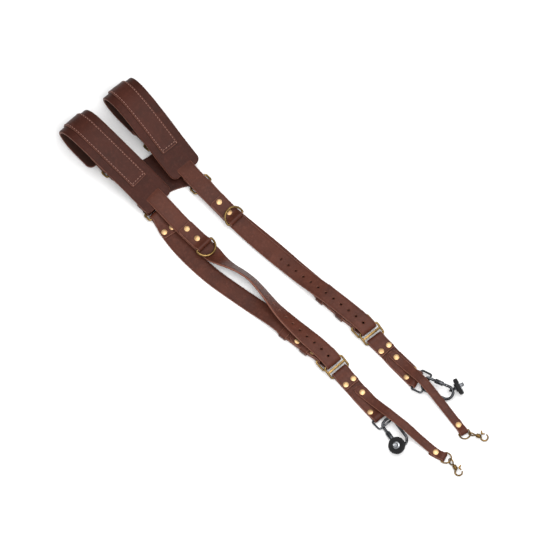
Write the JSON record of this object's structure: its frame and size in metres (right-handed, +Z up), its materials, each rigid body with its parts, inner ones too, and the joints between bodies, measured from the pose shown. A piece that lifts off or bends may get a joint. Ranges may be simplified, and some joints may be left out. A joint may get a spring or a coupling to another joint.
{
  "type": "camera harness suspenders",
  "caption": "Leather camera harness worn like suspenders, laid flat: folded shoulder pads on a rear yoke, buckled straps, swinging rings, carabiners with camera screws and safety snap hooks.",
  "frame": {"origin": "centre of the bounding box on its lowest plane, which is the surface the harness lies on", "axes": "+X runs along the straps from the folded shoulder pads to the snap hooks, +Y across from the near strap to the far strap, +Z up from the surface"},
  "size_m": [0.75, 0.1459, 0.0522],
  "materials": {
    "leather": "semi-matte chestnut brown strap leather, lighter at edges and stitches",
    "yoke_leather": "semi-matte dark brown leather",
    "brass": "polished pale gold",
    "antique_brass": "worn antique",
    "steel": "gunmetal, semi-gloss",
    "rubber": "matte black"
  },
  "bodies": {
    "root": {"near_shoulder_pad": "leather", "near_front_strap": "leather", "near_dring_tab": "leather", "near_tab_rivet_1": "brass", "near_tab_rivet_2": "brass", "near_upper_yoke_ring": "brass", "near_lower_yoke_ring": "brass", "near_back_strap": "leather", "near_lower_keeper": "leather", "near_buckle_frame": "brass", "near_buckle_tongue": "brass", "far_shoulder_pad": "leather", "far_front_strap": "leather", "far_dring_tab": "leather", "far_tab_rivet_1": "brass", "far_tab_rivet_2": "brass", "far_upper_yoke_ring": "brass", "far_lower_yoke_ring": "brass", "far_back_strap": "leather", "far_lower_keeper": "leather", "far_buckle_frame": "brass", "far_buckle_tongue": "brass", "yoke": "yoke_leather"},
    "near_slide_ring": {"near_slide_ring": "brass"},
    "near_camera_tab": {"near_camera_tab": "leather", "near_camera_tab_rivet_1": "brass", "near_camera_tab_rivet_2": "brass", "near_safety_strap": "leather", "near_safety_rivet": "brass", "near_safety_end_rivet": "brass"},
    "near_camera_ring": {"near_camera_ring": "steel"},
    "near_carabiner": {"near_carabiner": "steel"},
    "near_carabiner_sleeve": {"near_carabiner_sleeve": "steel"},
    "near_screw_eye": {"near_screw_eye": "steel"},
    "near_camera_screw": {"near_camera_screw": "rubber"},
    "near_safety_dring": {"near_safety_dring": "antique_brass"},
    "near_hook_eye": {"near_hook_eye": "antique_brass"},
    "near_hook_body": {"near_hook_body": "antique_brass"},
    "near_hook_trigger": {"near_hook_trigger": "antique_brass"},
    "near_front_dring": {"near_front_dring": "brass"},
    "near_upper_keeper": {"near_upper_keeper": "leather"},
    "far_slide_ring": {"far_slide_ring": "brass"},
    "far_camera_tab": {"far_camera_tab": "leather", "far_camera_tab_rivet_1": "brass", "far_camera_tab_rivet_2": "brass", "far_safety_strap": "leather", "far_safety_rivet": "brass", "far_safety_end_rivet": "brass"},
    "far_camera_ring": {"far_camera_ring": "steel"},
    "far_carabiner": {"far_carabiner": "steel"},
    "far_carabiner_sleeve": {"far_carabiner_sleeve": "steel"},
    "far_screw_eye": {"far_screw_eye": "steel"},
    "far_camera_screw": {"far_camera_screw": "rubber"},
    "far_safety_dring": {"far_safety_dring": "antique_brass"},
    "far_hook_eye": {"far_hook_eye": "antique_brass"},
    "far_hook_body": {"far_hook_body": "antique_brass"},
    "far_hook_trigger": {"far_hook_trigger": "antique_brass"},
    "far_front_dring": {"far_front_dring": "brass"},
    "far_upper_keeper": {"far_upper_keeper": "leather"}
  },
  "joints": [
    {"name": "near_slide_ring_hinge", "type": "hinge", "parent": "root", "child": "near_slide_ring", "pos_m": [0.13281, -0.03345, 0.01103], "axis": [-0.0698, -0.9976, 0], "range_deg": [0, 50]},
    {"name": "near_camera_tab_hinge", "type": "hinge", "parent": "near_slide_ring", "child": "near_camera_tab", "pos_m": [0.14915, -0.03459, 0.00488], "axis": [-0.0698, -0.9976, 0], "range_deg": [0, 50]},
    {"name": "near_camera_ring_hinge", "type": "hinge", "parent": "near_camera_tab", "child": "near_camera_ring", "pos_m": [0.23331, -0.04045, 0.00488], "axis": [0.0785, 0.9969, 0], "range_deg": [0, 60]},
    {"name": "near_carabiner_hinge", "type": "hinge", "parent": "near_camera_ring", "child": "near_carabiner", "pos_m": [0.24912, -0.04169, 0.00697], "axis": [0.0785, 0.9969, 0], "range_deg": [0, 40]},
    {"name": "near_sleeve_slide", "type": "slide", "parent": "near_carabiner", "child": "near_carabiner_sleeve", "axis": [0.9838, -0.1735, 0.0454], "range_m": [0, 0.006]},
    {"name": "near_screw_eye_hinge", "type": "hinge", "parent": "near_carabiner", "child": "near_screw_eye", "pos_m": [0.2841, -0.05435, 0.00555], "axis": [0.8596, 0.4117, 0.3025], "range_deg": [-30, 30]},
    {"name": "near_camera_screw_turn", "type": "hinge", "parent": "near_screw_eye", "child": "near_camera_screw", "pos_m": [0.28352, -0.05645, 0.01005], "axis": [-0.1156, -0.42, 0.9002], "continuous": true},
    {"name": "near_safety_dring_hinge", "type": "hinge", "parent": "near_camera_tab", "child": "near_safety_dring", "pos_m": [0.33781, -0.02205, 0.00393], "axis": [-0.309, 0.9511, 0], "range_deg": [-25, 50]},
    {"name": "near_hook_eye_hinge", "type": "hinge", "parent": "near_safety_dring", "child": "near_hook_eye", "pos_m": [0.34908, -0.01978, 0.00513], "axis": [0.1401, -0.99, -0.0182], "range_deg": [-30, 30]},
    {"name": "near_hook_swivel", "type": "hinge", "parent": "near_hook_eye", "child": "near_hook_body", "pos_m": [0.35893, -0.02151, 0.00513], "axis": [0.9848, -0.1736, 0], "continuous": true},
    {"name": "near_hook_trigger_hinge", "type": "hinge", "parent": "near_hook_body", "child": "near_hook_trigger", "pos_m": [0.36438, -0.01821, 0.00513], "axis": [0, 0, 1], "range_deg": [-30, 0], "stiffness_Nm_per_rad": 0.02, "springref_deg": 6.88},
    {"name": "near_front_dring_hinge", "type": "hinge", "parent": "root", "child": "near_front_dring", "pos_m": [-0.11616, -0.03764, 0.01214], "axis": [0, -1, 0], "range_deg": [0, 149]},
    {"name": "near_upper_keeper_slide", "type": "slide", "parent": "root", "child": "near_upper_keeper", "axis": [0.9945, 0.1045, 0], "range_m": [-0.01, 0]},
    {"name": "far_slide_ring_hinge", "type": "hinge", "parent": "root", "child": "far_slide_ring", "pos_m": [0.13281, 0.03585, 0.01103], "axis": [-0.1045, -0.9945, 0], "range_deg": [0, 50]},
    {"name": "far_camera_tab_hinge", "type": "hinge", "parent": "far_slide_ring", "child": "far_camera_tab", "pos_m": [0.1491, 0.03414, 0.00488], "axis": [-0.1045, -0.9945, 0], "range_deg": [0, 50]},
    {"name": "far_camera_ring_hinge", "type": "hinge", "parent": "far_camera_tab", "child": "far_camera_ring", "pos_m": [0.23131, 0.03215, 0.00488], "axis": [-0.2756, 0.9613, 0], "range_deg": [0, 60]},
    {"name": "far_carabiner_hinge", "type": "hinge", "parent": "far_camera_ring", "child": "far_carabiner", "pos_m": [0.24656, 0.03652, 0.00697], "axis": [-0.2756, 0.9613, 0], "range_deg": [0, 18]},
    {"name": "far_sleeve_slide", "type": "slide", "parent": "far_carabiner", "child": "far_carabiner_sleeve", "axis": [0.9387, 0.3417, 0.0454], "range_m": [0, 0.006]},
    {"name": "far_screw_eye_hinge", "type": "hinge", "parent": "far_carabiner", "child": "far_screw_eye", "pos_m": [0.27913, 0.05479, 0.01155], "axis": [-0.9397, 0.342, 0], "range_deg": [-30, 30]},
    {"name": "far_camera_screw_turn", "type": "hinge", "parent": "far_screw_eye", "child": "far_camera_screw", "pos_m": [0.2808, 0.05939, 0.01258], "axis": [0.3345, 0.9192, 0.2079], "continuous": true},
    {"name": "far_safety_dring_hinge", "type": "hinge", "parent": "far_camera_tab", "child": "far_safety_dring", "pos_m": [0.33181, 0.02355, 0.00393], "axis": [0.2588, 0.9659, 0], "range_deg": [-25, 50]},
    {"name": "far_hook_eye_hinge", "type": "hinge", "parent": "far_safety_dring", "child": "far_hook_eye", "pos_m": [0.34088, 0.02793, 0.00555], "axis": [0.6888, -0.7022, 0.1801], "range_deg": [-30, 30]},
    {"name": "far_hook_swivel", "type": "hinge", "parent": "far_hook_eye", "child": "far_hook_body", "pos_m": [0.34954, 0.03293, 0.00555], "axis": [0.866, 0.5, 0], "continuous": true},
    {"name": "far_hook_trigger_hinge", "type": "hinge", "parent": "far_hook_body", "child": "far_hook_trigger", "pos_m": [0.3516, 0.03897, 0.00555], "axis": [0, 0, 1], "range_deg": [-30, 0], "stiffness_Nm_per_rad": 0.02, "springref_deg": 6.88},
    {"name": "far_front_dring_hinge", "type": "hinge", "parent": "root", "child": "far_front_dring", "pos_m": [-0.11169, 0.02076, 0.01248], "axis": [0, -1, 0], "range_deg": [-149, 0]},
    {"name": "far_upper_keeper_slide", "type": "slide", "parent": "root", "child": "far_upper_keeper", "axis": [0.9994, 0.0349, 0], "range_m": [-0.01, 0]}
  ]
}
